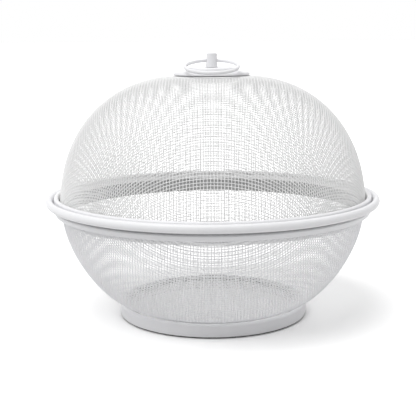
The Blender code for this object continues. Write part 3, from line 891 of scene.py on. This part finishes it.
class BASKET_OT_rim_collar(bpy.types.Operator):
    """Roll the collar: bead, neck, skirt, ledge and lip"""

    bl_idname = "basket.rim_collar"
    bl_label = "Rim Collar"
    bl_options = {"REGISTER", "UNDO"}

    def execute(self, context):
        rims, finish = choices(context, "rims", "finish")
        half = rims.collar_sheet / 2
        width, height = rims.bead_width / 2, rims.bead_height / 2
        centre = (RIM_RADIUS - width, RIM_TOP - height)
        bead = arc(centre, width - half, height - half, -rims.bead_open, math.pi, BEAD_POINTS)
        wall = RIM_RADIUS - rims.bead_width + half
        neck = wall - rims.neck_inset
        neck_top = RIM_TOP - rims.neck_drop
        skirt = wall - rims.skirt_inset
        ledge = RIM_TOP - rims.ledge_drop - half
        path = bead[:-1] + rounded(
            [
                (*bead[-1], 0),
                (wall, RIM_TOP - rims.neck_mouth, rims.neck_bend),
                (neck, neck_top, rims.neck_bend),
                (neck, neck_top - rims.neck_height, rims.neck_bend),
                (skirt, RIM_TOP - rims.skirt_drop, rims.skirt_bend),
                (skirt - rims.skirt_taper, ledge, rims.ledge_bend),
                (rims.lip_radius, ledge, half),
                (rims.lip_radius, ledge + half + rims.lip_height, 0),
            ]
        )
        material = coat("collar_coat", finish.coat, finish)
        # Painted shade: grey painted in the neck, which stands in for the shade in the groove under the bead
        tree, soft = material.node_tree, rims.neck_bend / 2
        groove = in_groove(tree, neck_top, neck_top - rims.neck_height, neck + rims.neck_bend, soft)
        paint_over(material, finish.thin, *groove)
        pressed("collar", path, rims.collar_sheet, rims, material, "basket", "rim_collar")
        return {"FINISHED"}


class BASKET_OT_lid_rim(bpy.types.Operator):
    """Roll the lid's rim, an upside-down channel with a round top"""

    bl_idname = "basket.lid_rim"
    bl_label = "Lid Rim"
    bl_options = {"REGISTER", "UNDO"}

    def execute(self, context):
        rims, finish = choices(context, "rims", "finish")
        half = rims.lid_sheet / 2
        short = outer_radius("lid_rim") - half
        long = short - 2 * rims.lid_crown + half
        spring = top("lid_rim") - rims.lid_crown
        centre = ((short + long) / 2, spring)
        roll = arc(centre, (short - long) / 2, rims.lid_crown - half, 0, math.pi, CROWN_POINTS)
        path = [(short, spring - rims.lid_leg), *roll, (long, foot("lid_rim"))]
        # Painted light: the rim's side that faces the middle is painted whiter
        material = two_sided_coat("lid_edge_coat", finish.coat, finish.wire_inside, finish, spring)
        pressed("lid_edge", path, rims.lid_sheet, rims, material, "lid", "lid_rim")
        return {"FINISHED"}


class BASKET_OT_clamp_bands(bpy.types.Operator):
    """Roll the two bands that hold the cut edges of the cloth"""

    bl_idname = "basket.clamp_bands"
    bl_label = "Clamp Bands"
    bl_options = {"REGISTER", "UNDO"}

    def execute(self, context):
        cloth, rims, finish = choices(context, "cloth", "rims", "finish")
        for node, body, radius in (
            ("basket_clamp_band", "basket", cloth.bowl_radius),
            ("lid_clamp_band", "lid", cloth.lid_radius),
        ):
            middle = radius - cloth.wire - rims.band_sheet / 2
            path = [(middle, top(node)), (middle, foot(node))]
            material = coat(f"{body}_band_coat", finish.band_coat, finish)
            # Painted light and shadow: a lighter copy of the white coat outside, and grey on the lower inner
            # side as the shadow inside the basket
            inner_side = mask(material, facing_in, Height=(top(node) + foot(node)) / 2)
            low = mask(material, below, Height=rims.bare_height, Unevenness=rims.bare_edge)
            paint_over(material, finish.bare, inner_side, low)
            pressed(f"{body}_band", path, rims.band_sheet, rims, material, body, node)
        return {"FINISHED"}


class BASKET_OT_foot_ring(bpy.types.Operator):
    """Roll the foot: flange under the cloth, wall and turned-in sole"""

    bl_idname = "basket.foot_ring"
    bl_label = "Foot Ring"
    bl_options = {"REGISTER", "UNDO"}

    def execute(self, context):
        cloth, rims, finish = choices(context, "cloth", "rims", "finish")
        half = rims.foot_sheet / 2
        slope = cloth.bowl_foot_slope
        wall = cloth.bowl_foot_radius + cloth.wire * math.sin(slope) + half / 2
        under = cloth.wire + half
        sole = wall - rims.foot_taper
        low = cloth.bowl_foot_height - cloth.floor_bend / 2 * math.tan(slope) - under
        corner_height = cloth.bowl_foot_height - under / math.cos(slope)
        path = rounded(
            [
                (wall - rims.flange, low + half, 0),
                (wall - rims.flange / 2, corner_height - rims.flange / 2 * math.tan(slope), rims.flange_bend),
                (wall, corner_height, rims.foot_bend),
                (sole, half, rims.sole_bend),
                (sole - rims.sole, half, 0),
            ]
        )
        # Painted light and shade: a lighter copy of the white coat outside, and dark grey on the inner side
        # as the shade under the bowl
        material = two_sided_coat("foot_coat", finish.foot_coat, finish.foot_inside, finish, corner_height)
        # Painted shade: the lowest edge, where the foot meets the floor, is painted near-black
        shaded = mask(material, below, Height=rims.scuff, Unevenness=rims.scuff / 4)
        paint_over(material, finish.scuffed, shaded)
        pressed("foot", path, rims.foot_sheet, rims, material, "basket", "foot_ring")
        return {"FINISHED"}


class BASKET_OT_plates(bpy.types.Operator):
    """Press the cap plate on the crown and the backing plate under it"""

    bl_idname = "basket.plates"
    bl_label = "Cap and Backing Plates"
    bl_options = {"REGISTER", "UNDO"}

    def execute(self, context):
        knob, rims, finish = choices(context, "knob", "rims", "finish")
        half = knob.sheet / 2
        edge = outer_radius("cap_plate") - half
        bore = knob.screw_radius + half
        cone_foot = foot("cap_plate") + knob.cap_edge - half
        cone_top = cone_foot + knob.cone_rise
        boss = knob.boss_radius - half
        boss_top = top("cap_plate") - half
        path = rounded(
            [
                (edge, foot("cap_plate"), 0),
                (edge, cone_foot, knob.cap_bend),
                (boss, cone_top, knob.boss_bend),
                (boss, boss_top, knob.boss_bend),
                (bore, boss_top, 0),
            ]
        )
        material = coat("cap_coat", finish.coat, finish)
        pressed("cap", path, knob.sheet, rims, material, "lid", "cap_plate")
        edge = outer_radius("backing_plate") - half
        level = top("backing_plate") - half
        path = rounded(
            [
                (edge, foot("backing_plate") + half, 0),
                (edge - knob.backing_bend, level, knob.backing_bend),
                (bore, level, 0),
            ]
        )
        material = coat("backing_coat", finish.coat, finish)
        pressed("backing", path, knob.sheet, rims, material, "lid", "backing_plate")
        return {"FINISHED"}


class BASKET_OT_post(bpy.types.Operator):
    """Turn the post and drill the hole for the ring"""

    bl_idname = "basket.post"
    bl_label = "Post"
    bl_options = {"REGISTER", "UNDO"}

    def execute(self, context):
        knob, finish = choices(context, "knob", "finish")
        centre = (0, POST_TOP - knob.post_dome)
        dome = arc(centre, knob.post_top_radius, knob.post_dome, math.pi / 2, 0, POST_DOME_POINTS)
        path = dome + [(knob.post_radius, POST_FOOT), (0, POST_FOOT)]
        material = coat("post_coat", finish.coat, finish)
        post = finished("post", spun(path, POST_SIDES), material, "lid", "knob_post")
        cutter = bmesh.new()
        across = Matrix.Translation((0, 0, RING_AXIS)) @ Matrix.Rotation(math.pi / 2, 4, "Y")
        bmesh.ops.create_cone(
            cutter,
            cap_ends=True,
            segments=HOLE_SIDES,
            radius1=knob.hole_radius,
            radius2=knob.hole_radius,
            depth=4 * knob.post_radius,
            matrix=across,
        )
        take_away(post, cutter)
        round_edges(post, knob.post_edge)
        return {"FINISHED"}


class BASKET_OT_screw(bpy.types.Operator):
    """Turn the screw that holds the post, and cut its cross recess"""

    bl_idname = "basket.screw"
    bl_label = "Screw"
    bl_options = {"REGISTER", "UNDO"}

    def execute(self, context):
        knob, finish = choices(context, "knob", "finish")
        seat = top("knob_screw")
        low = foot("knob_screw")
        head = outer_radius("knob_screw")
        head_top = low + knob.screw_head
        path = rounded(
            [
                (0, seat, 0),
                (knob.screw_radius, seat, knob.screw_end),
                (knob.screw_radius, head_top, 0),
                (head, head_top, knob.head_back_bend),
                (head, low + knob.head_dome, knob.head_bend),
                (head * knob.face_radius, low, knob.face_bend),
                (0, low, 0),
            ]
        )
        material = zinc_plate("screw_zinc", finish.zinc)
        screw = finished("screw", spun(path, SCREW_SIDES), material, "lid", "knob_screw")
        for angle in (0, math.pi / 2):
            slot = bmesh.new()
            bar = bmesh.ops.create_cube(slot, size=1)["verts"]
            bmesh.ops.scale(slot, vec=(head * knob.slot_reach, knob.slot, 2 * knob.slot_depth), verts=bar)
            bmesh.ops.rotate(slot, cent=(0, 0, 0), matrix=Matrix.Rotation(angle, 3, "Z"), verts=bar)
            bmesh.ops.translate(slot, vec=(0, 0, low), verts=bar)
            take_away(screw, slot)
        round_edges(screw, knob.screw_edge)
        return {"FINISHED"}


class BASKET_OT_ring(bpy.types.Operator):
    """Bend the ring through the post's hole"""

    bl_idname = "basket.ring"
    bl_label = "Ring"
    bl_options = {"REGISTER", "UNDO"}

    def execute(self, context):
        knob, finish = choices(context, "knob", "finish")
        # How far the wire bows over the width of the post
        sag = knob.ring_radius - math.sqrt(knob.ring_radius ** 2 - knob.post_top_radius ** 2)
        shape = bmesh.new()
        bmesh.ops.create_circle(
            shape,
            segments=RING_WIRE_SIDES,
            radius=knob.ring_wire,
            matrix=Matrix.Translation((knob.ring_radius, 0, 0)) @ Matrix.Rotation(math.pi / 2, 4, "X"),
        )
        turned(shape, RING_SIDES)
        lean = Matrix.Translation((0, 0, RING_AXIS)) @ Matrix.Rotation(knob.ring_lean, 4, "X")
        shape.transform(lean @ Matrix.Translation((0, sag / 2 - knob.ring_radius, 0)))
        finished("ring", shape, coat("ring_coat", finish.coat, finish), "ring", "ring_handle")
        return {"FINISHED"}


class BASKET_OT_studio(bpy.types.Operator):
    """Lay the floor, light the object and place the camera"""

    bl_idname = "basket.studio"
    bl_label = "Studio"
    bl_options = {"REGISTER", "UNDO"}

    def execute(self, context):
        studio = context.scene.basket_studio
        shape = bmesh.new()
        bmesh.ops.create_grid(shape, x_segments=4, y_segments=4, size=FLOOR_REACH)
        mesh = mesh_of("floor", shape, floor_paint(studio))
        new_object("floor", mesh)
        context.scene.world = white_room(studio.sky)
        for side in ("ceiling", "front", "left", "right"):
            source, spread, strength = (getattr(studio, side + part) for part in ("_from", "_spread", ""))
            soft_light(side, source, spread, strength)
        lens = bpy.data.cameras.new("camera")
        lens.lens = studio.lens
        lens.sensor_width = SENSOR_WIDTH
        lens.clip_start = 0.01
        camera = new_object("camera", lens)
        look = Euler((math.pi / 2 - studio.pitch, 0, studio.yaw), "XYZ").to_matrix()
        camera.location = studio.place
        camera.rotation_euler = (look @ Matrix.Rotation(-studio.roll, 3, "Z")).to_euler()
        context.scene.camera = camera
        context.scene.view_settings.view_transform = "Standard"
        return {"FINISHED"}


OPERATORS = (
    BASKET_OT_bowl_cloth,
    BASKET_OT_lid_cloth,
    BASKET_OT_rim_collar,
    BASKET_OT_lid_rim,
    BASKET_OT_clamp_bands,
    BASKET_OT_foot_ring,
    BASKET_OT_plates,
    BASKET_OT_post,
    BASKET_OT_screw,
    BASKET_OT_ring,
    BASKET_OT_studio,
)

GROUPS = {
    "basket_cloth": BASKET_PG_cloth,
    "basket_rims": BASKET_PG_rims,
    "basket_knob": BASKET_PG_knob,
    "basket_finish": BASKET_PG_finish,
    "basket_studio": BASKET_PG_studio,
}


class BASKET_PT_panel(bpy.types.Panel):
    """The basket's pieces and sizes"""

    bl_idname = "BASKET_PT_panel"
    bl_label = "Mesh Fruit Basket"
    bl_space_type = "VIEW_3D"
    bl_region_type = "UI"
    bl_category = "Basket"

    def draw(self, context):
        column = self.layout.column(align=True)
        for operator in OPERATORS:
            column.operator(operator.bl_idname)
        for name, group in GROUPS.items():
            box = self.layout.box()
            for key in group.__annotations__:
                box.prop(getattr(context.scene, name), key)


def register():
    for name, group in GROUPS.items():
        bpy.utils.register_class(group)
        setattr(bpy.types.Scene, name, PointerProperty(type=group))
    for item in (*OPERATORS, BASKET_PT_panel):
        bpy.utils.register_class(item)


def unregister():
    for item in (BASKET_PT_panel, *reversed(OPERATORS)):
        bpy.utils.unregister_class(item)
    for name, group in GROUPS.items():
        delattr(bpy.types.Scene, name)
        bpy.utils.unregister_class(group)


def main():
    register()
    basket = bpy.ops.basket
    basket.bowl_cloth()
    basket.lid_cloth()
    basket.rim_collar()
    basket.lid_rim()
    basket.clamp_bands()
    basket.foot_ring()
    basket.plates()
    basket.post()
    basket.screw()
    basket.ring()
    basket.studio()


if __name__ == "__main__":
    main()
